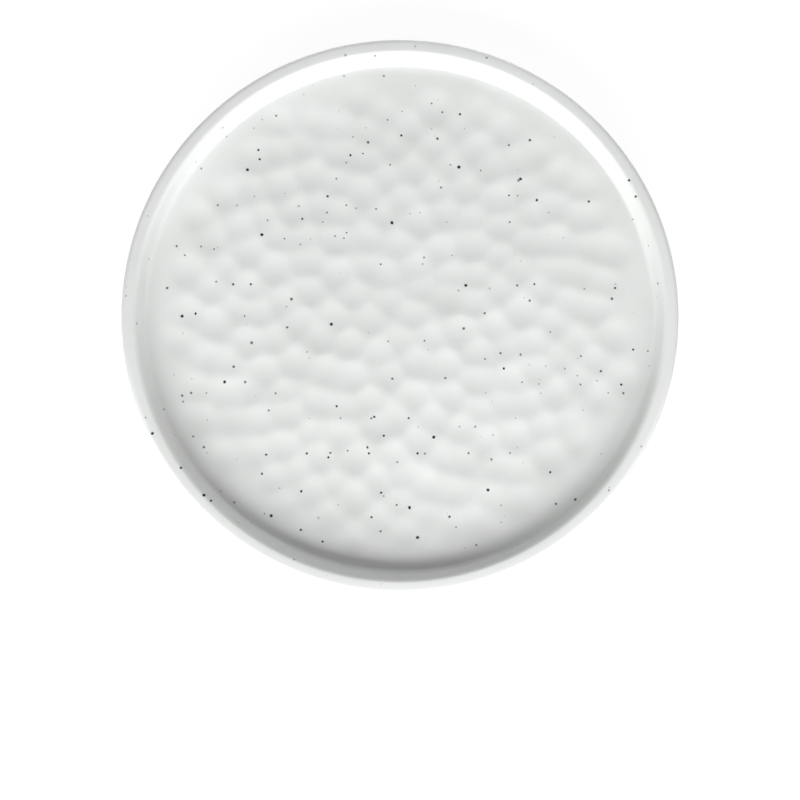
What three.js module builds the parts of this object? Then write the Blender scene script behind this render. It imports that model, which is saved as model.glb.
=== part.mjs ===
// Round stoneware plate with a hammered well, an upright wall, a soft-edged lip and a set-in foot.
// The fired clay is one piece. The wiped foot ring parts its glaze into a face coat and a base coat.
// Millimetres, +Z up. The origin is the centre of the foot, on the table.
import * as THREE from 'three';

// Finished size, over the glaze
const PLATE_DIAMETER = 205;
const PLATE_HEIGHT = 17.4;

// Wall and lip
const LIP_THICKNESS = 6; // over its rounded edges
const LIP_INNER_RADIUS = 1.45; // clay edge of the lip towards the well, which the coat rounds further
const LIP_OUTER_RADIUS = 1.25; // clay edge of the lip towards the outside
const INNER_WALL_LEAN = 14; // degrees, opening towards the lip
const OUTER_WALL_LEAN = 2; // degrees, opening towards the lip
const COVE_RADIUS = 2; // between the well and the inner wall
const WALL_CLEARANCE = 4.2; // lowest point of the wall above the table
const CORNER_RADIUS = 1.6; // lower outer corner of the wall
const UNDERSIDE_SLOPE = 12; // degrees, falling from the corner to the foot

// Floor, foot ring and the recess inside the ring
const FLOOR_THICKNESS = 5.8;
const RECESS_HEIGHT = 4;
const RECESS_FILLET = 1.4;
const FOOT_INSET = 10; // from the widest part of the plate to the flat of the foot
const FOOT_WIDTH = 5; // flat of the ring
const FOOT_LEAN = 15; // degrees, both sides, narrowing towards the table
const FOOT_EDGE_RADIUS = 0.5;
const FOOT_ROOT_RADIUS = 1.2; // between the side of the foot and the underside of the wall
const BARE_FOOT_HEIGHT = 0.8; // clay left bare above the table

// Glaze
const GLAZE_THICKNESS = 0.45;
const GLAZE_CLEARANCE = 0.1; // between the clay and its coats

// Hammer marks in the well
const HAMMER_FACE_RADIUS = 34; // roundness of the hammer face
const HAMMER_DEPTH = 0.64;
const HAMMER_DEPTH_SPREAD = 0.15; // deeper or shallower by up to this
const HAMMER_PITCH = 10.7; // side of the square of well that each mark has to itself
const HAMMER_SCATTER = 2.2; // each mark is off its place on the spiral by up to this, along X and Y
const HAMMER_MARGIN = 9; // smooth band from the edge of the well to the outer marks
const HAMMER_SOFTNESS = 0.17; // rounding of the ridges between marks
const HAMMER_SEED = 11;

// Facets
const WALL_SEGMENTS = 72;
const WELL_RINGS = 20;
const WELL_RING_GAIN = 6; // points that each ring of the well has more than the one inside it
const FACET_TURN = 38; // most degrees that one facet of an arc turns

// Finish
const CLAY_COLOUR = 0xd9cfbf;
const CLAY_ROUGHNESS = 0.85;
const GLAZE_COLOUR = 0xe6e8e6;
const GLAZE_ROUGHNESS = 0.38;

// Normals of the straight stretches of the section, turned from straight up towards the outside
const { degToRad } = THREE.MathUtils;
const UP = 0;
const OUTWARD = Math.PI / 2;
const DOWN = Math.PI;
const INNER_WALL = degToRad(INNER_WALL_LEAN) - OUTWARD;
const OUTER_WALL = OUTWARD + degToRad(OUTER_WALL_LEAN);
const UNDERSIDE = DOWN - degToRad(UNDERSIDE_SLOPE);
const FOOT_OUTSIDE = OUTWARD + degToRad(FOOT_LEAN);
const FOOT_INSIDE = DOWN + OUTWARD - degToRad(FOOT_LEAN);

// Turn from one mark of a sunflower spiral to the next, and the place of a mark within its share
const GOLDEN_ANGLE = Math.PI * (3 - Math.sqrt(5));
const HALF_SHARE = 0.5;

const COAT = GLAZE_THICKNESS + GLAZE_CLEARANCE;
const WELL_HEIGHT = RECESS_HEIGHT + FLOOR_THICKNESS;

function direction(turn) {
  return new THREE.Vector2(Math.sin(turn), Math.cos(turn));
}

// Point where two straight lines cross, each given by its normal and its distance from the origin
function crossing(normalA, distanceA, normalB, distanceB) {
  const a = direction(normalA);
  const b = direction(normalB);
  const spread = a.cross(b);
  return new THREE.Vector2(
    (distanceA * b.y - distanceB * a.y) / spread,
    (distanceB * a.x - distanceA * b.x) / spread,
  );
}

// An arc of the finished section. Its normal turns through the given stops.
// A rounded arc has its centre in the plate, and a hollow one in the air.
function roundedArc(centre, radius, stops) {
  return { centre, radius, stops, side: 1 };
}

function hollowArc(centre, radius, stops) {
  return { centre, radius, stops, side: -1 };
}

// Distance from the origin of the straight line that leaves an arc at the given normal
function tangentDistance(arc, normal) {
  return arc.centre.dot(direction(normal)) + arc.side * arc.radius;
}

// Points along an arc, sunk by a depth into the plate
function arcPoints(arc, depth) {
  const normals = [arc.stops[0]];
  for (let k = 1; k < arc.stops.length; k += 1) {
    const turn = arc.stops[k] - arc.stops[k - 1];
    const facets = Math.ceil(Math.abs(turn) / degToRad(FACET_TURN));
    for (let step = 1; step <= facets; step += 1) {
      normals.push(arc.stops[k - 1] + (turn * step) / facets);
    }
  }
  const reach = arc.side * arc.radius - depth;
  return normals.map((normal) => arc.centre.clone().addScaledVector(direction(normal), reach));
}

// Arcs of the finished section, from the well over the lip to the foot
const rimRadius = PLATE_DIAMETER / 2;
const lipInnerRadius = LIP_INNER_RADIUS + COAT;
const lipInnerCentre = new THREE.Vector2(
  rimRadius - LIP_THICKNESS + lipInnerRadius,
  PLATE_HEIGHT - lipInnerRadius,
);
const lipInner = roundedArc(lipInnerCentre, lipInnerRadius, [INNER_WALL, UP]);
const lipOuterRadius = LIP_OUTER_RADIUS + COAT;
const lipOuterCentre = new THREE.Vector2(rimRadius - lipOuterRadius, PLATE_HEIGHT - lipOuterRadius);
const lipOuter = roundedArc(lipOuterCentre, lipOuterRadius, [UP, OUTWARD, OUTER_WALL]);

const coveCentre = crossing(
  INNER_WALL, tangentDistance(lipInner, INNER_WALL) + COVE_RADIUS,
  UP, WELL_HEIGHT + COVE_RADIUS,
);
const cove = hollowArc(coveCentre, COVE_RADIUS, [UP, INNER_WALL]);

const cornerCentre = crossing(
  OUTER_WALL, tangentDistance(lipOuter, OUTER_WALL) - CORNER_RADIUS,
  UP, WALL_CLEARANCE + CORNER_RADIUS,
);
const corner = roundedArc(cornerCentre, CORNER_RADIUS, [OUTER_WALL, UNDERSIDE]);

// The foot's edges are bare clay, so their finished arcs are larger by the coat that stops above them
const footOuterRadius = rimRadius - FOOT_INSET;
const footInnerRadius = footOuterRadius - FOOT_WIDTH;
const footOuterCentre = new THREE.Vector2(footOuterRadius, FOOT_EDGE_RADIUS);
const footInnerCentre = new THREE.Vector2(footInnerRadius, FOOT_EDGE_RADIUS);
const footOuterEdge = roundedArc(footOuterCentre, FOOT_EDGE_RADIUS + COAT, [FOOT_OUTSIDE, DOWN]);
const footInnerEdge = roundedArc(footInnerCentre, FOOT_EDGE_RADIUS + COAT, [FOOT_INSIDE, DOWN]);

const rootCentre = crossing(
  UNDERSIDE, tangentDistance(corner, UNDERSIDE) + FOOT_ROOT_RADIUS,
  FOOT_OUTSIDE, tangentDistance(footOuterEdge, FOOT_OUTSIDE) + FOOT_ROOT_RADIUS,
);
const footRoot = hollowArc(rootCentre, FOOT_ROOT_RADIUS, [UNDERSIDE, FOOT_OUTSIDE]);

const recessCentre = crossing(
  FOOT_INSIDE, tangentDistance(footInnerEdge, FOOT_INSIDE) + RECESS_FILLET,
  UP, RECESS_HEIGHT - RECESS_FILLET,
);
const recess = hollowArc(recessCentre, RECESS_FILLET, [DOWN, FOOT_INSIDE]);

// Hammer marks on a sunflower spiral, on which each has an equal share of the well.
// Numbers from one fixed seed scatter them.
function hammerMarks() {
  const reach = coveCentre.x - HAMMER_MARGIN;
  const count = Math.floor(Math.PI * (reach / HAMMER_PITCH) ** 2);
  const marks = [];
  THREE.MathUtils.seededRandom(HAMMER_SEED);
  const spread = (size) => size * (2 * THREE.MathUtils.seededRandom() - 1);
  for (let mark = 0; mark < count; mark += 1) {
    const distance = HAMMER_PITCH * Math.sqrt((mark + HALF_SHARE) / Math.PI);
    const angle = mark * GOLDEN_ANGLE;
    const x = distance * Math.cos(angle) + spread(HAMMER_SCATTER);
    const y = distance * Math.sin(angle) + spread(HAMMER_SCATTER);
    const depth = HAMMER_DEPTH + spread(HAMMER_DEPTH_SPREAD);
    marks.push({ x, y, depth });
  }
  return marks;
}

const marks = hammerMarks();

// Height of the hammered face against the smooth well: the lowest of all marks, with softened ridges
function hammeredHeight(x, y) {
  let weight = 1;
  for (const mark of marks) {
    const rise = ((x - mark.x) ** 2 + (y - mark.y) ** 2) / (2 * HAMMER_FACE_RADIUS) - mark.depth;
    weight += Math.exp(-rise / HAMMER_SOFTNESS);
  }
  return -HAMMER_SOFTNESS * Math.log(weight);
}

function smoothHeight() {
  return 0;
}

function wallRing(point) {
  return { radius: point.x, height: point.y, count: WALL_SEGMENTS, relief: smoothHeight };
}

// Point on a side of the foot where its coat stops, sunk by a depth
function glazeLine(edge, normal, depth) {
  return crossing(normal, tangentDistance(edge, normal) - depth, UP, BARE_FOOT_HEIGHT);
}

// Rings of the glazed face at a depth, from the middle of the well over the lip to the foot
function faceRings(depth) {
  const height = WELL_HEIGHT - depth;
  const rings = [{ radius: 0, height, count: 1, relief: hammeredHeight }];
  for (let ring = 1; ring < WELL_RINGS; ring += 1) {
    const radius = (coveCentre.x * ring) / WELL_RINGS;
    rings.push({ radius, height, count: WELL_RING_GAIN * ring, relief: hammeredHeight });
  }
  for (const arc of [cove, lipInner, lipOuter, corner, footRoot]) {
    rings.push(...arcPoints(arc, depth).map(wallRing));
  }
  rings.push(wallRing(glazeLine(footOuterEdge, FOOT_OUTSIDE, depth)));
  return rings;
}

// Rings of the glazed recess at a depth, from the middle of the base to the foot
function baseRings(depth) {
  const rings = [{ radius: 0, height: RECESS_HEIGHT + depth, count: 1, relief: smoothHeight }];
  rings.push(...arcPoints(recess, depth).map(wallRing));
  rings.push(wallRing(glazeLine(footInnerEdge, FOOT_INSIDE, depth)));
  return rings;
}

function addRing(positions, ring) {
  const start = positions.length / 3;
  for (let k = 0; k < ring.count; k += 1) {
    const angle = (2 * Math.PI * k) / ring.count;
    const x = ring.radius * Math.cos(angle);
    const y = ring.radius * Math.sin(angle);
    positions.push(x, y, ring.height + ring.relief(x, y));
  }
  return { start, count: ring.count };
}

function vertexOf(ring, step) {
  return ring.start + (step % ring.count);
}

// Fills the band between two rings, each time stepping along the ring that is behind.
// A ring of one point is on the axis and takes no steps.
function fillBand(triangles, first, second, flipped) {
  let a = first.count > 1 ? 0 : 1;
  let b = second.count > 1 ? 0 : 1;
  while (a < first.count || b < second.count) {
    const alongSecond = a === first.count
      || (b < second.count && (b + 1) / second.count <= (a + 1) / first.count);
    const corners = [vertexOf(first, a), vertexOf(second, b)];
    if (alongSecond) {
      b += 1;
      corners.push(vertexOf(second, b));
    } else {
      a += 1;
      corners.push(vertexOf(first, a));
    }
    triangles.push(...(flipped ? corners.reverse() : corners));
  }
}

// Closed solid between an upper and a lower skin, each given as rings from the axis outwards
function solidBetween(upperRings, lowerRings) {
  const positions = [];
  const triangles = [];
  const upper = upperRings.map((ring) => addRing(positions, ring));
  const lower = lowerRings.map((ring) => addRing(positions, ring));
  for (let k = 1; k < upper.length; k += 1) {
    fillBand(triangles, upper[k - 1], upper[k], false);
  }
  for (let k = 1; k < lower.length; k += 1) {
    fillBand(triangles, lower[k - 1], lower[k], true);
  }
  fillBand(triangles, upper.at(-1), lower.at(-1), false);
  const geometry = new THREE.BufferGeometry();
  geometry.setAttribute('position', new THREE.Float32BufferAttribute(positions, 3));
  geometry.setIndex(triangles);
  geometry.computeVertexNormals();
  return geometry;
}

function part(name, geometry, colour, roughness) {
  const material = new THREE.MeshStandardMaterial({ color: colour, roughness, metalness: 0 });
  const mesh = new THREE.Mesh(geometry, material);
  mesh.name = name;
  return mesh;
}

// Fired clay: its face and base lie a coat below the finished surface, and its foot stands bare
function clayBody() {
  const upper = [...faceRings(COAT), ...arcPoints(footOuterEdge, COAT).map(wallRing)];
  const lower = [...baseRings(COAT), ...arcPoints(footInnerEdge, COAT).map(wallRing)];
  return part('clay_body', solidBetween(upper, lower), CLAY_COLOUR, CLAY_ROUGHNESS);
}

function faceGlaze() {
  const coat = solidBetween(faceRings(0), faceRings(GLAZE_THICKNESS));
  return part('face_glaze', coat, GLAZE_COLOUR, GLAZE_ROUGHNESS);
}

function baseGlaze() {
  const coat = solidBetween(baseRings(GLAZE_THICKNESS), baseRings(0));
  return part('base_glaze', coat, GLAZE_COLOUR, GLAZE_ROUGHNESS);
}

const plate = new THREE.Group();
plate.add(clayBody(), faceGlaze(), baseGlaze());

export default plate;
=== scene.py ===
"""Looks of a round stoneware plate: fired clay under two coats of speckled satin glaze.

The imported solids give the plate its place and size. Lengths are metres, with +Z up and the
origin at the centre of the foot. Sections are drawn in the XZ plane and turned about Z.
"""

import math
from collections import namedtuple
from itertools import pairwise

import bmesh
import bpy
import numpy as np
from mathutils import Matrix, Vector


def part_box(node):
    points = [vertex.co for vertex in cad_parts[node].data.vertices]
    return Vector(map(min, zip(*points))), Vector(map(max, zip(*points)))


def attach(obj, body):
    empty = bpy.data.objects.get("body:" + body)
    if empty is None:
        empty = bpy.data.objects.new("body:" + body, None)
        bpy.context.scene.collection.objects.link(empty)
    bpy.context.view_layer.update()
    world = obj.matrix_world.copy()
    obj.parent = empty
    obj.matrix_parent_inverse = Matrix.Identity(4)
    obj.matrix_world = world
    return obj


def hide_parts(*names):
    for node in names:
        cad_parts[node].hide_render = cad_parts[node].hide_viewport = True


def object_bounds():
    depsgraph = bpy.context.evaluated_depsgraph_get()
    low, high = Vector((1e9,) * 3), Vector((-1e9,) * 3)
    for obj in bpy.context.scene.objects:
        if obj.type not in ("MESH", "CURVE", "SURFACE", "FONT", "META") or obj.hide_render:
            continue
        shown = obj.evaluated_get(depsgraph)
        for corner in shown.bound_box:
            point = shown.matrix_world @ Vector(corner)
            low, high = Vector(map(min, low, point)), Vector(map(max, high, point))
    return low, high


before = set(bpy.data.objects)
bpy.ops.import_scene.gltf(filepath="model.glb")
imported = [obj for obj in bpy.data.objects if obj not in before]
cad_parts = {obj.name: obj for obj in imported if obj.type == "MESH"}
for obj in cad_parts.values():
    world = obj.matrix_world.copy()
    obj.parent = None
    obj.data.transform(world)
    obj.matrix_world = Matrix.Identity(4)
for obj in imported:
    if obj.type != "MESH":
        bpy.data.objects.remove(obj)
CAD_LOW, CAD_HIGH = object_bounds()
GLAZE_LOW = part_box("face_glaze")[0]

bl_info = {
    "name": "Speckled Hammered Plate",
    "version": (1, 0, 0),
    "blender": (4, 5, 0),
    "location": "3D View > Sidebar > Plate",
    "description": "Fired clay, speckled glaze and a studio for a hammered stoneware plate",
    "category": "Add Mesh",
}

BODY = "root"
MM = 0.001
LEVEL = (1.0, 1.0, 0.0)  # keeps the level part of a place
WHITE = (1.0, 1.0, 1.0)

# Directions in a section are turned from straight up towards the outside
UP = 0.0
OUTWARD = math.pi / 2
DOWN = math.pi

# Fineness of the meshes
DRAWING_SCALE = 1000.0  # a bevel keeps 0.0001 units off its neighbour, so sections are drawn enlarged
ROUNDING_STEP = 0.3 * MM
WELL_STEP = 1.5 * MM
RECESS_STEP = 4.0 * MM
WHEEL_STEPS = 320
MERGE_DISTANCE = 0.01 * MM
SHARP_ANGLE = math.radians(50)
GLAZE_EDGE_SEGMENTS = 4

# Scatter of the hammer marks
GOLDEN_ANGLE = math.pi * (3 - math.sqrt(5))
WORD = 0xFFFFFFFF

# Stretches of a noise, which runs from 0 to 1, that carry a tone and a roughness
TONE_LOW, TONE_HIGH = 0.35, 0.65
ROUGH_LOW, ROUGH_HIGH = 0.3, 0.7

# Specks and flecks fade from a dark core, given as a share of the radius, to their edge
SPECK_CORE = 0.3
FLECK_CORE = 0.4

# Largest flecks of the well and lip: radius, then each x and y, in millimetres
LEVEL_FLECKS = {
    0.82: (
        (12.5, -45.0), (3.5, -71.0), (6.5, -82.0), (-51.5, 30.5), (-65.0, -24.5), (-25.5, -3.0),
        (24.5, 11.5), (-3.0, 35.0), (-57.0, 55.0), (-81.0, 0.0), (22.0, 56.0), (45.0, 51.5),
        (-47.5, -74.0), (32.5, -64.5), (-71.5, -66.5), (-90.5, -44.0),
    ),
    0.6: (
        (-76.0, 1.0), (-23.5, -33.5), (-55.5, 12.0), (50.0, 12.0), (70.5, 43.0), (86.5, -12.5),
        (74.5, -20.5), (82.0, -25.5), (55.5, -58.0), (-51.0, -58.5), (-28.5, -83.5), (-10.5, -74.5),
        (-7.0, -65.5), (-49.5, -51.5), (-6.0, -44.5), (-11.5, -51.0), (-34.5, -51.0), (-26.5, -52.5),
        (-36.5, -65.0), (-9.5, -37.5), (-53.0, 62.5), (-52.5, 59.0), (-18.5, 60.5), (0.5, 68.0),
        (-27.0, 45.0), (-36.5, 36.5), (22.5, 76.0), (51.0, 43.5), (38.5, -19.5), (80.0, 10.5),
        (-69.0, -68.5), (84.5, 49.5), (87.0, 43.5), (-80.0, -56.5), (6.5, -51.0),
    ),
}

# Largest flecks of the walls: radius, then each turn from the front in degrees and height in millimetres
INNER_WALL_FLECKS = {
    0.6: ((-174.5, 16.4), (97.0, 13.7)),
}
OUTER_WALL_FLECKS = {
    1.15: ((10.0, 14.0),),
    0.82: ((-41.5, 15.0),),
    0.6: (
        (-51.0, 14.5), (-43.5, 10.0), (-13.5, 14.0), (-9.0, 12.5), (-4.0, 15.0), (7.0, 14.5),
        (23.5, 16.0), (27.5, 12.5), (39.0, 13.5),
    ),
}

Side = namedtuple("Side", "normal distance")  # straight stretch of a section
Rounding = namedtuple("Rounding", "radius hollow")  # arc between two sides


def length(name, description, default):
    return bpy.props.FloatProperty(
        name=name, description=description, default=default, min=0.0, precision=5, unit="LENGTH"
    )


def angle(name, description, degrees):
    return bpy.props.FloatProperty(
        name=name, description=description, default=math.radians(degrees), subtype="ANGLE"
    )


def share(name, description, default):
    return bpy.props.FloatProperty(
        name=name, description=description, default=default, min=0.0, max=1.0, subtype="FACTOR"
    )


def colour(name, description, default):
    return bpy.props.FloatVectorProperty(
        name=name, description=description, default=default, size=3, min=0.0, max=1.0, subtype="COLOR"
    )


class PlateSizes(bpy.types.PropertyGroup):
    """Sizes of the finished plate, over its glaze."""

    diameter: length("Diameter", "Widest measure, over the lip", CAD_HIGH.x - CAD_LOW.x)
    height: length("Height", "From the table to the crest of the lip", CAD_HIGH.z - CAD_LOW.z)
    lip_thickness: length("Lip thickness", "Width of the lip over its rounded edges", 6.0 * MM)
    lip_inner_radius: length("Lip inner radius", "Edge of the lip towards the well", 2.0 * MM)
    lip_outer_radius: length("Lip outer radius", "Edge of the lip towards the outside", 1.8 * MM)
    inner_wall_lean: angle("Inner wall lean", "How far the inner wall opens towards the lip", 14)
    outer_wall_lean: angle("Outer wall lean", "How far the outer wall opens towards the lip", 2)
    cove_radius: length("Cove radius", "Hollow between the well and the inner wall", 2.0 * MM)
    wall_clearance: length("Wall clearance", "Lowest point of the wall above the table", 4.2 * MM)
    corner_radius: length("Corner radius", "Lower outer corner of the wall", 1.6 * MM)
    underside_slope: angle("Underside slope", "Fall from the corner to the foot", 12)
    well_height: length("Well height", "Smooth level of the well above the table", 9.8 * MM)
    recess_height: length("Recess height", "Base inside the foot ring above the table", 4.0 * MM)
    recess_fillet: length("Recess fillet", "Hollow between the base and the foot ring", 1.4 * MM)
    foot_inset: length("Foot inset", "From the widest part of the plate to the flat of the foot", 10.0 * MM)
    foot_width: length("Foot width", "Flat of the foot ring", 5.0 * MM)
    foot_lean: angle("Foot lean", "Both sides of the foot, narrowing towards the table", 15)
    foot_edge_radius: length("Foot edge radius", "Worn edges of the bare foot", 0.5 * MM)
    foot_root_radius: length("Foot root radius", "Between the foot and the underside of the wall", 1.2 * MM)
    bare_foot_height: length("Bare foot height", "Clay left bare above the table", GLAZE_LOW.z - CAD_LOW.z)
    glaze_thickness: length("Glaze thickness", "Coat of glaze", 0.45 * MM)
    glaze_clearance: length("Glaze clearance", "Between the clay and its coats", 0.1 * MM)
    glaze_edge: length("Glaze edge", "Rounding where a coat stops at the wiped foot", 0.3 * MM)


class HammerMarks(bpy.types.PropertyGroup):
    """Marks that a round-faced hammer leaves in the well."""

    face_radius: length("Face radius", "Roundness of the hammer face", 34.0 * MM)
    depth: length("Depth", "Deepest point of a mark", 0.64 * MM)
    depth_spread: length("Depth spread", "Marks are deeper or shallower by up to this", 0.15 * MM)
    pitch: length("Pitch", "Side of the square that each mark has to itself", 10.7 * MM)
    scatter: length("Scatter", "Each mark is off its place by up to this", 2.2 * MM)
    margin: length("Margin", "Smooth band from the edge of the well to the outer marks", 9.0 * MM)
    softness: length("Softness", "Rounding of the ridges between marks", 0.17 * MM)
    seed: bpy.props.IntProperty(name="Seed", description="Start of the scattered numbers", default=11)


class GlazeFinish(bpy.types.PropertyGroup):
    """Colours and specks of the satin glaze."""

    white: colour("White", "Body of the glaze", (0.80, 0.814, 0.803))
    shade: colour("Shade", "Where the glaze lies thinner", (0.765, 0.778, 0.766))
    iron: colour("Iron", "Specks of iron in the glaze", (0.008, 0.0075, 0.007))
    smooth: share("Smooth roughness", "Roughness where the glaze is smoothest", 0.36)
    dull: share("Dull roughness", "Roughness where the glaze is dullest", 0.46)
    shine: share("Shine", "Strength of reflections in the glaze", 0.5)
    speck_shine: share("Speck shine", "Strength of reflections in a speck, which is drier", 0.1)
    cloud_size: length("Cloud size", "Width of the patches of thinner glaze", 30.0 * MM)
    peel_size: length("Peel size", "Width of the ripples in the glaze", 2.5 * MM)
    peel_depth: length("Peel depth", "Depth of the ripples in the glaze", 0.05 * MM)
    peel_strength: share("Peel strength", "How strongly the ripples show", 0.25)
    coarse_cell: length("Coarse cell", "Side of the cube that may hold one coarse speck", 5.0 * MM)
    coarse_smallest: length("Coarse smallest", "Radius of the smallest coarse specks", 0.46 * MM)
    coarse_largest: length("Coarse largest", "Radius of the largest coarse specks", 0.84 * MM)
    coarse_share: share("Coarse share", "Share of the cubes that hold a coarse speck", 0.40)
    fine_cell: length("Fine cell", "Side of the cube that may hold one fine speck", 3.2 * MM)
    fine_smallest: length("Fine smallest", "Radius of the smallest fine specks", 0.36 * MM)
    fine_largest: length("Fine largest", "Radius of the largest fine specks", 0.58 * MM)
    fine_share: share("Fine share", "Share of the cubes that hold a fine speck", 0.18)
    faintest: share("Faintest", "Strength of the faintest specks", 0.35)
    ragged_size: length("Ragged size", "Width of the waves in the edge of a speck", 0.9 * MM)
    ragged_depth: length("Ragged depth", "Height of the waves in the edge of a speck", 0.35 * MM)


class ClayFinish(bpy.types.PropertyGroup):
    """Colours of the bare fired clay."""

    pale: colour("Pale", "Body of the clay", (0.62, 0.55, 0.46))
    dark: colour("Dark", "Grains and wiping marks", (0.45, 0.38, 0.30))
    smooth: share("Smooth roughness", "Roughness where the clay is smoothest", 0.78)
    dull: share("Dull roughness", "Roughness where the clay is dullest", 0.95)
    ring_width: length("Ring width", "Width of the rings that wiping leaves", 0.8 * MM)
    grain_size: length("Grain size", "Width of the grains", 0.5 * MM)
    grain_share: share("Grain share", "How far the grains outweigh the rings", 0.6)
    mark_depth: length("Mark depth", "Depth of the grains and rings", 0.1 * MM)
    mark_strength: share("Mark strength", "How strongly the grains and rings show", 0.4)


class StudioSetup(bpy.types.PropertyGroup):
    """Camera, light and floor."""

    camera_elevation: angle("Camera elevation", "Height of the view above the horizon", 83.5)
    camera_distance: length("Camera distance", "From the camera to the middle of the lip", 0.637)
    camera_lens: bpy.props.FloatProperty(
        name="Lens", description="Focal length in millimetres", default=78.0, subtype="DISTANCE_CAMERA"
    )
    plate_rise: length("Plate rise", "Middle of the plate above the middle of the picture", 31.7 * MM)
    key_elevation: angle("Key elevation", "Height of the soft lamp above the horizon", 29)
    key_turn: angle("Key turn", "Soft lamp's turn to the left of the camera", 13)
    key_distance: length("Key distance", "From the soft lamp to the plate", 1.2)
    key_width: length("Key width", "Level side of the soft lamp", 1.9)
    key_height: length("Key height", "Other side of the soft lamp", 0.85)
    key_power: bpy.props.FloatProperty(
        name="Key power", description="Power of the soft lamp", default=30.5, unit="POWER"
    )
    fill_elevation: angle("Fill elevation", "Height of the weak lamp above the horizon", 22)
    fill_turn: angle("Fill turn", "Weak lamp's turn to the left of the camera", 202)
    fill_distance: length("Fill distance", "From the weak lamp to the plate", 0.8)
    fill_size: length("Fill size", "Side of the weak lamp", 0.65)
    fill_power: bpy.props.FloatProperty(
        name="Fill power", description="Power of the weak lamp", default=2.5, unit="POWER"
    )
    side_elevation: angle("Side elevation", "Height of the faint lamp above the horizon", 25)
    side_turn: angle("Side turn", "Faint lamp's turn to the left of the camera", 295)
    side_distance: length("Side distance", "From the faint lamp to the plate", 0.8)
    side_size: length("Side size", "Side of the faint lamp", 0.45)
    side_power: bpy.props.FloatProperty(
        name="Side power", description="Power of the faint lamp", default=1.1, unit="POWER"
    )
    back_elevation: angle("Back elevation", "Height of the strip lamp above the horizon of the lip", -0.6)
    back_turn: angle("Back turn", "Strip lamp's turn to the left of the camera", 168)
    back_distance: length("Back distance", "From the strip lamp to the plate", 0.8)
    back_width: length("Back width", "Level side of the strip lamp", 1.2)
    back_height: length("Back height", "Other side of the strip lamp", 15.0 * MM)
    back_power: bpy.props.FloatProperty(
        name="Back power", description="Power of the strip lamp", default=2.0, unit="POWER"
    )
    ambient: bpy.props.FloatProperty(
        name="Ambient", description="Strength of the light from all round", default=0.04, min=0.0
    )
    floor_size: length("Floor size", "Side of the floor", 24.0)
    floor_tone: share("Floor tone", "Paleness of the floor that lights the plate", 0.8)
    floor_glow: share("Floor glow", "Glow that keeps the floor near white in the picture", 0.92)
    shadow_tone: share("Shadow tone", "Paleness that shows the shadow in the picture", 0.14)


def direction(turn):
    """Unit vector in a section, turned from straight up towards the outside."""
    return Vector((math.sin(turn), math.cos(turn)))


def crossing(side, other):
    """Point where two sides cross."""
    a = direction(side.normal)
    b = direction(other.normal)
    spread = a.cross(b)
    return Vector((
        (side.distance * b.y - other.distance * a.y) / spread,
        (other.distance * a.x - side.distance * b.x) / spread,
    ))


def tangent(centre, radius, normal):
    """Side that touches a circle where its outward normal has the given turn."""
    return Side(normal, centre.dot(direction(normal)) + radius)


def sunk(side, depth):
    return Side(side.normal, side.distance - depth)


class Section:
    """Sides and roundings of the finished plate, worked out from its sizes."""

    def __init__(self, sizes):
        radius = sizes.diameter / 2
        self.coat = sizes.glaze_thickness + sizes.glaze_clearance
        self.axis = Side(OUTWARD, 0.0)
        self.glaze_line = Side(UP, sizes.bare_foot_height)

        self.lip_inner = Rounding(sizes.lip_inner_radius, False)
        self.lip_outer = Rounding(sizes.lip_outer_radius, False)
        bore = radius - sizes.lip_thickness
        inner_centre = Vector((bore + self.lip_inner.radius, sizes.height - self.lip_inner.radius))
        outer_centre = Vector((radius - self.lip_outer.radius, sizes.height - self.lip_outer.radius))
        self.well = Side(UP, sizes.well_height)
        self.inner_wall = tangent(inner_centre, self.lip_inner.radius, sizes.inner_wall_lean - OUTWARD)
        self.crest = Side(UP, sizes.height)
        self.outer_wall = tangent(outer_centre, self.lip_outer.radius, OUTWARD + sizes.outer_wall_lean)

        corner_level = Side(UP, sizes.wall_clearance + sizes.corner_radius)
        corner_centre = crossing(sunk(self.outer_wall, sizes.corner_radius), corner_level)
        self.underside = tangent(corner_centre, sizes.corner_radius, DOWN - sizes.underside_slope)

        # The foot's edges are bare, so a coat that stops above them would have a larger radius
        edge_radius = sizes.foot_edge_radius + self.coat
        foot_outer = Vector((radius - sizes.foot_inset, sizes.foot_edge_radius))
        foot_inner = Vector((radius - sizes.foot_inset - sizes.foot_width, sizes.foot_edge_radius))
        self.foot_outside = tangent(foot_outer, edge_radius, OUTWARD + sizes.foot_lean)
        self.foot_flat = Side(DOWN, self.coat)
        self.foot_inside = tangent(foot_inner, edge_radius, DOWN + OUTWARD - sizes.foot_lean)
        self.recess = Side(DOWN, -sizes.recess_height)

        self.cove = Rounding(sizes.cove_radius, True)
        self.corner = Rounding(sizes.corner_radius, False)
        self.foot_root = Rounding(sizes.foot_root_radius, True)
        self.foot_edge = Rounding(edge_radius, False)
        self.recess_fillet = Rounding(sizes.recess_fillet, True)

        cove_wall = sunk(self.inner_wall, -sizes.cove_radius)
        cove_level = Side(UP, sizes.well_height + sizes.cove_radius)
        self.well_radius = crossing(cove_wall, cove_level).x
        self.mid_floor = (sizes.well_height + sizes.recess_height) / 2


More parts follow.
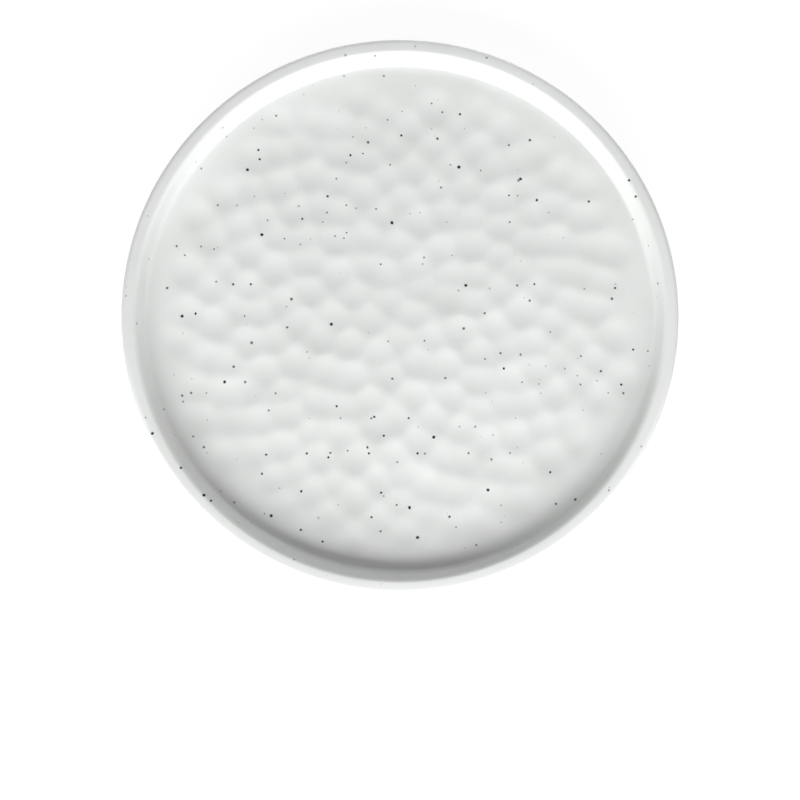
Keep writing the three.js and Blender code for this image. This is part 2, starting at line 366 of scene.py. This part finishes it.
def draw_section(first, sides, roundings, last, depth=0.0):
    """Wire of a section from a first to a last side, with the sides between them sunk and rounded."""
    wire = bmesh.new()
    corners = []
    for side, following in pairwise([first, *(sunk(side, depth) for side in sides), last]):
        place = crossing(side, following) * DRAWING_SCALE
        corners.append(wire.verts.new((place.x, 0.0, place.y)))
    for corner, following in pairwise(corners):
        wire.edges.new((corner, following))
    for corner, rounding, (side, following) in zip(corners[1:], roundings, pairwise(sides)):
        radius = rounding.radius + (depth if rounding.hollow else -depth)
        turn = abs(following.normal - side.normal)
        bmesh.ops.bevel(
            wire,
            geom=[corner],
            offset=radius * math.tan(turn / 2) * DRAWING_SCALE,
            offset_type="OFFSET",
            segments=math.ceil(radius * turn / ROUNDING_STEP),
            profile=0.5,
            affect="VERTICES",
            material=-1,
        )
    bmesh.ops.scale(wire, vec=[1 / DRAWING_SCALE] * 3, verts=wire.verts[:])
    bmesh.ops.remove_doubles(wire, verts=wire.verts[:], dist=MERGE_DISTANCE)
    return wire


def divide_straights(wire, step):
    """Cuts the straight stretches of a section into pieces no longer than a step."""
    for edge in wire.edges[:]:
        cuts = math.ceil(edge.calc_length() / step) - 1
        if cuts > 0:
            bmesh.ops.subdivide_edges(wire, edges=[edge], cuts=cuts)


def turn_on_wheel(wire):
    """Turns a section about the axis into a skin with closed poles."""
    bmesh.ops.spin(
        wire,
        geom=wire.verts[:] + wire.edges[:],
        cent=(0.0, 0.0, 0.0),
        axis=(0.0, 0.0, 1.0),
        angle=2 * math.pi,
        steps=WHEEL_STEPS,
        use_merge=True,
    )
    bmesh.ops.remove_doubles(wire, verts=wire.verts[:], dist=MERGE_DISTANCE)
    bmesh.ops.recalc_face_normals(wire, faces=wire.faces[:])


def face_middle(skin, upwards):
    """Turns an open skin over if its middle doesn't look the given way."""
    middle = min(skin.faces, key=lambda face: face.calc_center_median().xy.length)
    if (middle.normal.z > 0) != upwards:
        bmesh.ops.reverse_faces(skin, faces=skin.faces[:])


def scattered_numbers(seed):
    """Repeatable numbers from 0 to 1, the same ones that scatter the marks of the solids."""
    state = seed
    while True:
        state = (state + 0x6D2B79F5) & WORD
        mixed = ((state ^ (state >> 15)) * (state | 1)) & WORD
        mixed ^= (mixed + (((mixed ^ (mixed >> 7)) * (mixed | 61)) & WORD)) & WORD
        yield ((mixed ^ (mixed >> 14)) & WORD) / (WORD + 1)


def hammer_blows(hammer, well_radius):
    """Place and depth of each hammer mark, on a spiral like a sunflower's seeds that is scattered."""
    numbers = scattered_numbers(hammer.seed)
    next(numbers)
    reach = well_radius - hammer.margin
    blows = []
    for index in range(int(math.pi * (reach / hammer.pitch) ** 2)):
        distance = hammer.pitch * math.sqrt((index + 0.5) / math.pi)
        x = distance * math.cos(index * GOLDEN_ANGLE) + hammer.scatter * (2 * next(numbers) - 1)
        y = distance * math.sin(index * GOLDEN_ANGLE) + hammer.scatter * (2 * next(numbers) - 1)
        depth = hammer.depth + hammer.depth_spread * (2 * next(numbers) - 1)
        blows.append((x, y, depth))
    return blows


def hammer_well(skin, section, hammer):
    """Sinks the well to the lowest of all hammer marks, with softened ridges between them."""
    well = [
        vert for vert in skin.verts
        if vert.co.z > section.mid_floor and vert.co.xy.length < section.well_radius
    ]
    x = np.array([vert.co.x for vert in well])
    y = np.array([vert.co.y for vert in well])
    weight = np.ones(len(well))
    for blow_x, blow_y, depth in hammer_blows(hammer, section.well_radius):
        rise = ((x - blow_x) ** 2 + (y - blow_y) ** 2) / (2 * hammer.face_radius) - depth
        weight += np.exp(-rise / hammer.softness)
    sink = hammer.softness * np.log(weight)
    for vert, drop in zip(well, sink):
        vert.co.z -= drop


def thicken_coat(skin, sizes):
    """Gives a skin of glaze its thickness, with a rounded edge where it stops."""
    rim = [edge for edge in skin.edges if edge.is_boundary]
    bmesh.ops.solidify(skin, geom=skin.faces[:], thickness=sizes.glaze_thickness)
    bmesh.ops.bevel(
        skin,
        geom=rim,
        offset=sizes.glaze_edge,
        offset_type="OFFSET",
        segments=GLAZE_EDGE_SEGMENTS,
        profile=0.5,
        affect="EDGES",
        material=-1,
    )


def add_piece(name, shape, material, node):
    """Puts a finished shape into the scene in place of a CAD node."""
    for face in shape.faces:
        face.smooth = True
    mesh = bpy.data.meshes.new(name)
    shape.to_mesh(mesh)
    shape.free()
    mesh.set_sharp_from_angle(angle=SHARP_ANGLE)
    mesh.materials.append(material)
    piece = bpy.data.objects.new(name, mesh)
    bpy.context.scene.collection.objects.link(piece)
    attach(piece, BODY)
    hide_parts(node)


class NodeBench:
    """Nodes of a material or of the surroundings, with short ways to add and join them."""

    def __init__(self, owner):
        owner.use_nodes = True
        self.owner = owner
        self.tree = owner.node_tree
        self.tree.nodes.clear()

    def add(self, kind, inputs=None, **settings):
        node = self.tree.nodes.new(kind)
        for name, value in settings.items():
            setattr(node, name, value)
        for socket, value in (inputs or {}).items():
            self.feed(node.inputs[socket], value)
        return node

    def feed(self, socket, value):
        if isinstance(value, bpy.types.NodeSocket):
            self.tree.links.new(value, socket)
        elif socket.type == "RGBA":
            socket.default_value = (*value[:3], 1.0)
        else:
            socket.default_value = value

    def math(self, operation, *values):
        node = self.add("ShaderNodeMath", dict(enumerate(values)), operation=operation)
        return node.outputs[0]

    def vector_math(self, operation, *values):
        return self.add("ShaderNodeVectorMath", dict(enumerate(values)), operation=operation)

    def blend(self, factor, first, second):
        inputs = {0: factor, 6: first, 7: second}
        return self.add("ShaderNodeMix", inputs, data_type="RGBA").outputs[2]

    def spread(self, value, low, high, to_low, to_high, smooth=False):
        inputs = {"Value": value, "From Min": low, "From Max": high, "To Min": to_low, "To Max": to_high}
        kind = "SMOOTHSTEP" if smooth else "LINEAR"
        return self.add("ShaderNodeMapRange", inputs, interpolation_type=kind).outputs[0]

    def noise(self, place, size, detail=2.0):
        inputs = {"Vector": place, "Scale": 1 / size, "Detail": detail}
        return self.add("ShaderNodeTexNoise", inputs)

    def relief(self, height, strength, depth):
        inputs = {"Height": height, "Strength": strength, "Distance": depth}
        return self.add("ShaderNodeBump", inputs).outputs["Normal"]

    def object_place(self):
        return self.add("ShaderNodeTexCoord").outputs["Object"]

    def finish(self, shader, output="ShaderNodeOutputMaterial"):
        self.add(output, {"Surface": shader})
        return self.owner


def new_material(name):
    return NodeBench(bpy.data.materials.new(name))


def speck_layer(bench, place, cell, smallest, largest, amount, faintest):
    """Darkness of round specks, one in each of a share of the cells, of random size and strength."""
    cells = bench.add("ShaderNodeTexVoronoi", {"Vector": place, "Scale": 1 / cell})
    chance = bench.add("ShaderNodeSeparateColor", {"Color": cells.outputs["Color"]})
    radius = bench.spread(chance.outputs["Red"], 0.0, 1.0, smallest / cell, largest / cell)
    core = bench.math("MULTIPLY", radius, SPECK_CORE)
    disc = bench.spread(cells.outputs["Distance"], core, radius, 1.0, 0.0, smooth=True)
    present = bench.math("LESS_THAN", chance.outputs["Green"], amount)
    strength = bench.spread(chance.outputs["Blue"], 0.0, 1.0, faintest, 1.0)
    return bench.math("MULTIPLY", bench.math("MULTIPLY", disc, present), strength)


def level_places(flecks):
    """Places, at height 0, of flecks given by x and y in millimetres."""
    return {radius: [(x * MM, y * MM, 0.0) for x, y in spots] for radius, spots in flecks.items()}


def wall_place(wall, turn, height):
    """Point of a wall at a turn from the front, in degrees, and a height in millimetres."""
    level = Side(UP, height * MM)
    around = math.radians(turn)
    distance = crossing(wall, level).x
    return (math.sin(around) * distance, -math.cos(around) * distance, level.distance)


def wall_places(wall, flecks):
    """Places on a wall of flecks given by turn and height."""
    return {radius: [wall_place(wall, *spot) for spot in spots] for radius, spots in flecks.items()}


def fleck_layer(bench, place, flecks):
    """Darkness of round flecks, given as places for each radius."""
    darkness = 0.0
    for radius, places in flecks.items():
        nearest = 1.0
        for centre in places:
            away = bench.vector_math("DISTANCE", place, centre).outputs["Value"]
            nearest = bench.math("MINIMUM", away, nearest)
        disc = bench.spread(nearest, FLECK_CORE * radius * MM, radius * MM, 1.0, 0.0, smooth=True)
        darkness = bench.math("MAXIMUM", disc, darkness)
    return darkness


def face_flecks(section):
    """Layers of the large flecks on the well, the lip and the walls."""
    level = level_places(LEVEL_FLECKS)
    inner = wall_places(section.inner_wall, INNER_WALL_FLECKS)
    outer = wall_places(section.outer_wall, OUTER_WALL_FLECKS)

    def layers(bench, place):
        flat = bench.vector_math("MULTIPLY", place, LEVEL).outputs["Vector"]
        return [
            fleck_layer(bench, flat, level),
            fleck_layer(bench, place, inner),
            fleck_layer(bench, place, outer),
        ]

    return layers


def no_flecks(bench, place):
    return []


def glaze_material(name, finish, flecks=no_flecks):
    """Satin white glaze with iron specks in it, and layers of larger flecks."""
    bench = new_material(name)
    place = bench.object_place()

    clouds = bench.noise(place, finish.cloud_size, detail=3.0)
    tone = bench.spread(clouds.outputs["Fac"], TONE_LOW, TONE_HIGH, 0.0, 1.0)
    white = bench.blend(tone, finish.shade, finish.white)

    waves = bench.noise(place, finish.ragged_size, detail=1.0).outputs["Color"]
    centred = bench.vector_math("SUBTRACT", waves, (0.5, 0.5, 0.5)).outputs["Vector"]
    depth = [finish.ragged_depth] * 3
    offset = bench.vector_math("MULTIPLY", centred, depth).outputs["Vector"]
    ragged = bench.vector_math("ADD", place, offset).outputs["Vector"]

    coarse = speck_layer(
        bench, ragged, finish.coarse_cell, finish.coarse_smallest, finish.coarse_largest,
        finish.coarse_share, finish.faintest,
    )
    fine = speck_layer(
        bench, ragged, finish.fine_cell, finish.fine_smallest, finish.fine_largest,
        finish.fine_share, finish.faintest,
    )
    specks = bench.math("MAXIMUM", coarse, fine)
    for layer in flecks(bench, ragged):
        specks = bench.math("MAXIMUM", specks, layer)
    coat = bench.blend(specks, white, finish.iron)

    peel = bench.noise(place, finish.peel_size).outputs["Fac"]
    roughness = bench.spread(peel, ROUGH_LOW, ROUGH_HIGH, finish.smooth, finish.dull)
    shine = bench.spread(specks, 0.0, 1.0, finish.shine, finish.speck_shine)
    bump = bench.relief(peel, finish.peel_strength, finish.peel_depth)
    glaze = bench.add("ShaderNodeBsdfPrincipled", {
        "Base Color": coat,
        "Roughness": roughness,
        "Specular IOR Level": shine,
        "Normal": bump,
    })
    return bench.finish(glaze.outputs["BSDF"])


def clay_material(name, finish):
    """Dry fired clay with fine grains and rings from wiping the foot."""
    bench = new_material(name)
    place = bench.object_place()
    flat = bench.vector_math("MULTIPLY", place, LEVEL).outputs["Vector"]
    radius = bench.vector_math("LENGTH", flat).outputs["Value"]
    rings = bench.add(
        "ShaderNodeTexNoise", {"W": radius, "Scale": 1 / finish.ring_width}, noise_dimensions="1D"
    )
    grains = bench.noise(place, finish.grain_size, detail=4.0).outputs["Fac"]
    marks = bench.blend(finish.grain_share, rings.outputs["Fac"], grains)
    tone = bench.spread(marks, TONE_LOW, TONE_HIGH, 0.0, 1.0)
    fired = bench.add("ShaderNodeBsdfPrincipled", {
        "Base Color": bench.blend(tone, finish.dark, finish.pale),
        "Roughness": bench.spread(grains, ROUGH_LOW, ROUGH_HIGH, finish.smooth, finish.dull),
        "Normal": bench.relief(marks, finish.mark_strength, finish.mark_depth),
    })
    return bench.finish(fired.outputs["BSDF"])


class PLATE_OT_fired_clay(bpy.types.Operator):
    """Makes the fired clay: floor, wall and foot ring in one piece."""

    bl_idname = "plate.fired_clay"
    bl_label = "Fired Clay"

    def execute(self, context):
        section = Section(context.scene.plate_sizes)
        sides = [
            section.well, section.inner_wall, section.crest, section.outer_wall, section.underside,
            section.foot_outside, section.foot_flat, section.foot_inside, section.recess,
        ]
        roundings = [
            section.cove, section.lip_inner, section.lip_outer, section.corner,
            section.foot_root, section.foot_edge, section.foot_edge, section.recess_fillet,
        ]
        clay = draw_section(section.axis, sides, roundings, section.axis, section.coat)
        divide_straights(clay, WELL_STEP)
        turn_on_wheel(clay)
        hammer_well(clay, section, context.scene.plate_hammer)
        material = clay_material("bare_clay", context.scene.plate_clay)
        add_piece("fired_clay", clay, material, "clay_body")
        return {"FINISHED"}


class PLATE_OT_face_coat(bpy.types.Operator):
    """Makes the glaze over the hammered well, the wall, the lip and the side of the foot."""

    bl_idname = "plate.face_coat"
    bl_label = "Face Coat"

    def execute(self, context):
        section = Section(context.scene.plate_sizes)
        sides = [
            section.well, section.inner_wall, section.crest,
            section.outer_wall, section.underside, section.foot_outside,
        ]
        roundings = [section.cove, section.lip_inner, section.lip_outer, section.corner, section.foot_root]
        coat = draw_section(section.axis, sides, roundings, section.glaze_line)
        divide_straights(coat, WELL_STEP)
        turn_on_wheel(coat)
        face_middle(coat, upwards=True)
        hammer_well(coat, section, context.scene.plate_hammer)
        thicken_coat(coat, context.scene.plate_sizes)
        material = glaze_material("speckled_face", context.scene.plate_glaze, face_flecks(section))
        add_piece("speckled_face", coat, material, "face_glaze")
        return {"FINISHED"}


class PLATE_OT_base_coat(bpy.types.Operator):
    """Makes the glaze in the shallow recess inside the foot ring."""

    bl_idname = "plate.base_coat"
    bl_label = "Base Coat"

    def execute(self, context):
        section = Section(context.scene.plate_sizes)
        sides = [section.recess, section.foot_inside]
        coat = draw_section(section.axis, sides, [section.recess_fillet], section.glaze_line)
        divide_straights(coat, RECESS_STEP)
        turn_on_wheel(coat)
        face_middle(coat, upwards=False)
        thicken_coat(coat, context.scene.plate_sizes)
        material = glaze_material("speckled_base", context.scene.plate_glaze)
        add_piece("speckled_base", coat, material, "base_glaze")
        return {"FINISHED"}


def from_front(turn, elevation):
    """Direction from the plate to a place in front of it, turned to the left and raised."""
    level = math.cos(elevation)
    return Vector((-math.sin(turn) * level, -math.cos(turn) * level, math.sin(elevation)))


def aim(thing, target):
    thing.rotation_mode = "QUATERNION"
    thing.rotation_quaternion = (target - thing.location).to_track_quat("-Z", "Y")


def add_camera(studio, middle):
    """Camera in front of the plate and high above it, aimed below its middle."""
    camera = bpy.data.objects.new("camera", bpy.data.cameras.new("camera"))
    camera.data.lens = studio.camera_lens
    camera.location = middle + from_front(0.0, studio.camera_elevation) * studio.camera_distance
    picture_up = -from_front(0.0, studio.camera_elevation - OUTWARD)
    aim(camera, middle - picture_up * studio.plate_rise)
    bpy.context.scene.collection.objects.link(camera)
    bpy.context.scene.camera = camera


def add_lamp(name, middle, turn, elevation, distance, width, height, power):
    """Soft lamp aimed at the middle of the lip."""
    lamp = bpy.data.objects.new(name, bpy.data.lights.new(name, "AREA"))
    lamp.data.shape = "RECTANGLE"
    lamp.data.size = width
    lamp.data.size_y = height
    lamp.data.energy = power
    lamp.location = middle + from_front(turn, elevation) * distance
    aim(lamp, middle)
    bpy.context.scene.collection.objects.link(lamp)


def seen_directly(bench):
    """1 for rays from the camera, also off a mirror or through glass, and 0 for light that scatters."""
    rays = bench.add("ShaderNodeLightPath")
    mirrored = bench.math("MAXIMUM", rays.outputs["Is Glossy Ray"], rays.outputs["Is Transmission Ray"])
    return bench.math("MAXIMUM", rays.outputs["Is Camera Ray"], mirrored)


def floor_material(studio):
    """Pale floor that looks white but for the plate's soft shadow."""
    bench = new_material("pale_floor")
    plain = bench.add("ShaderNodeBsdfDiffuse", {"Color": [studio.floor_tone] * 3})
    shadow = bench.add("ShaderNodeBsdfDiffuse", {"Color": [studio.shadow_tone] * 3})
    glow = bench.add("ShaderNodeEmission", {"Color": WHITE, "Strength": studio.floor_glow})
    white = bench.add("ShaderNodeAddShader", {0: shadow.outputs[0], 1: glow.outputs[0]})
    inputs = {0: seen_directly(bench), 1: plain.outputs[0], 2: white.outputs[0]}
    return bench.finish(bench.add("ShaderNodeMixShader", inputs).outputs[0])


def add_floor(studio, level):
    shape = bmesh.new()
    bmesh.ops.create_grid(shape, x_segments=1, y_segments=1, size=studio.floor_size / 2)
    bmesh.ops.translate(shape, vec=(0.0, 0.0, level), verts=shape.verts[:])
    mesh = bpy.data.meshes.new("floor")
    shape.to_mesh(mesh)
    shape.free()
    mesh.materials.append(floor_material(studio))
    floor = bpy.data.objects.new("floor", mesh)
    bpy.context.scene.collection.objects.link(floor)


def light_from_all_round(studio):
    """White surroundings for the camera, and an even dim light for the plate."""
    bench = NodeBench(bpy.data.worlds.new("surroundings"))
    strength = bench.spread(seen_directly(bench), 0.0, 1.0, studio.ambient, 1.0)
    background = bench.add("ShaderNodeBackground", {"Color": WHITE, "Strength": strength})
    bpy.context.scene.world = bench.finish(background.outputs[0], "ShaderNodeOutputWorld")


class PLATE_OT_studio(bpy.types.Operator):
    """Sets up the pale floor, the soft light and the camera."""

    bl_idname = "plate.studio"
    bl_label = "Studio"

    def execute(self, context):
        studio = context.scene.plate_studio
        lip_middle = Vector((0.0, 0.0, CAD_HIGH.z))
        add_camera(studio, lip_middle)
        add_lamp(
            "key_lamp", lip_middle, studio.key_turn, studio.key_elevation,
            studio.key_distance, studio.key_width, studio.key_height, studio.key_power,
        )
        add_lamp(
            "fill_lamp", lip_middle, studio.fill_turn, studio.fill_elevation,
            studio.fill_distance, studio.fill_size, studio.fill_size, studio.fill_power,
        )
        add_lamp(
            "side_lamp", lip_middle, studio.side_turn, studio.side_elevation,
            studio.side_distance, studio.side_size, studio.side_size, studio.side_power,
        )
        add_lamp(
            "back_lamp", lip_middle, studio.back_turn, studio.back_elevation,
            studio.back_distance, studio.back_width, studio.back_height, studio.back_power,
        )
        add_floor(studio, CAD_LOW.z)
        light_from_all_round(studio)
        context.scene.view_settings.view_transform = "Standard"
        return {"FINISHED"}


class PLATE_PT_workshop(bpy.types.Panel):
    """Lists the steps that make the plate."""

    bl_idname = "PLATE_PT_workshop"
    bl_label = "Speckled Plate"
    bl_space_type = "VIEW_3D"
    bl_region_type = "UI"
    bl_category = "Plate"

    def draw(self, context):
        for step in STEPS:
            self.layout.operator(step.bl_idname)
        for name in SETTINGS:
            box = self.layout.box()
            settings = getattr(context.scene, name)
            for field in settings.bl_rna.properties:
                if not field.is_readonly and field.identifier != "name":
                    box.prop(settings, field.identifier)


SETTINGS = {
    "plate_sizes": PlateSizes,
    "plate_hammer": HammerMarks,
    "plate_glaze": GlazeFinish,
    "plate_clay": ClayFinish,
    "plate_studio": StudioSetup,
}
STEPS = (PLATE_OT_fired_clay, PLATE_OT_face_coat, PLATE_OT_base_coat, PLATE_OT_studio)


def register():
    for kind in (*SETTINGS.values(), *STEPS, PLATE_PT_workshop):
        bpy.utils.register_class(kind)
    for name, kind in SETTINGS.items():
        setattr(bpy.types.Scene, name, bpy.props.PointerProperty(type=kind))


def unregister():
    for name in SETTINGS:
        delattr(bpy.types.Scene, name)
    for kind in (PLATE_PT_workshop, *reversed(STEPS), *SETTINGS.values()):
        bpy.utils.unregister_class(kind)


def main():
    register()
    bpy.ops.plate.fired_clay()
    bpy.ops.plate.face_coat()
    bpy.ops.plate.base_coat()
    bpy.ops.plate.studio()


if __name__ == "__main__":
    main()
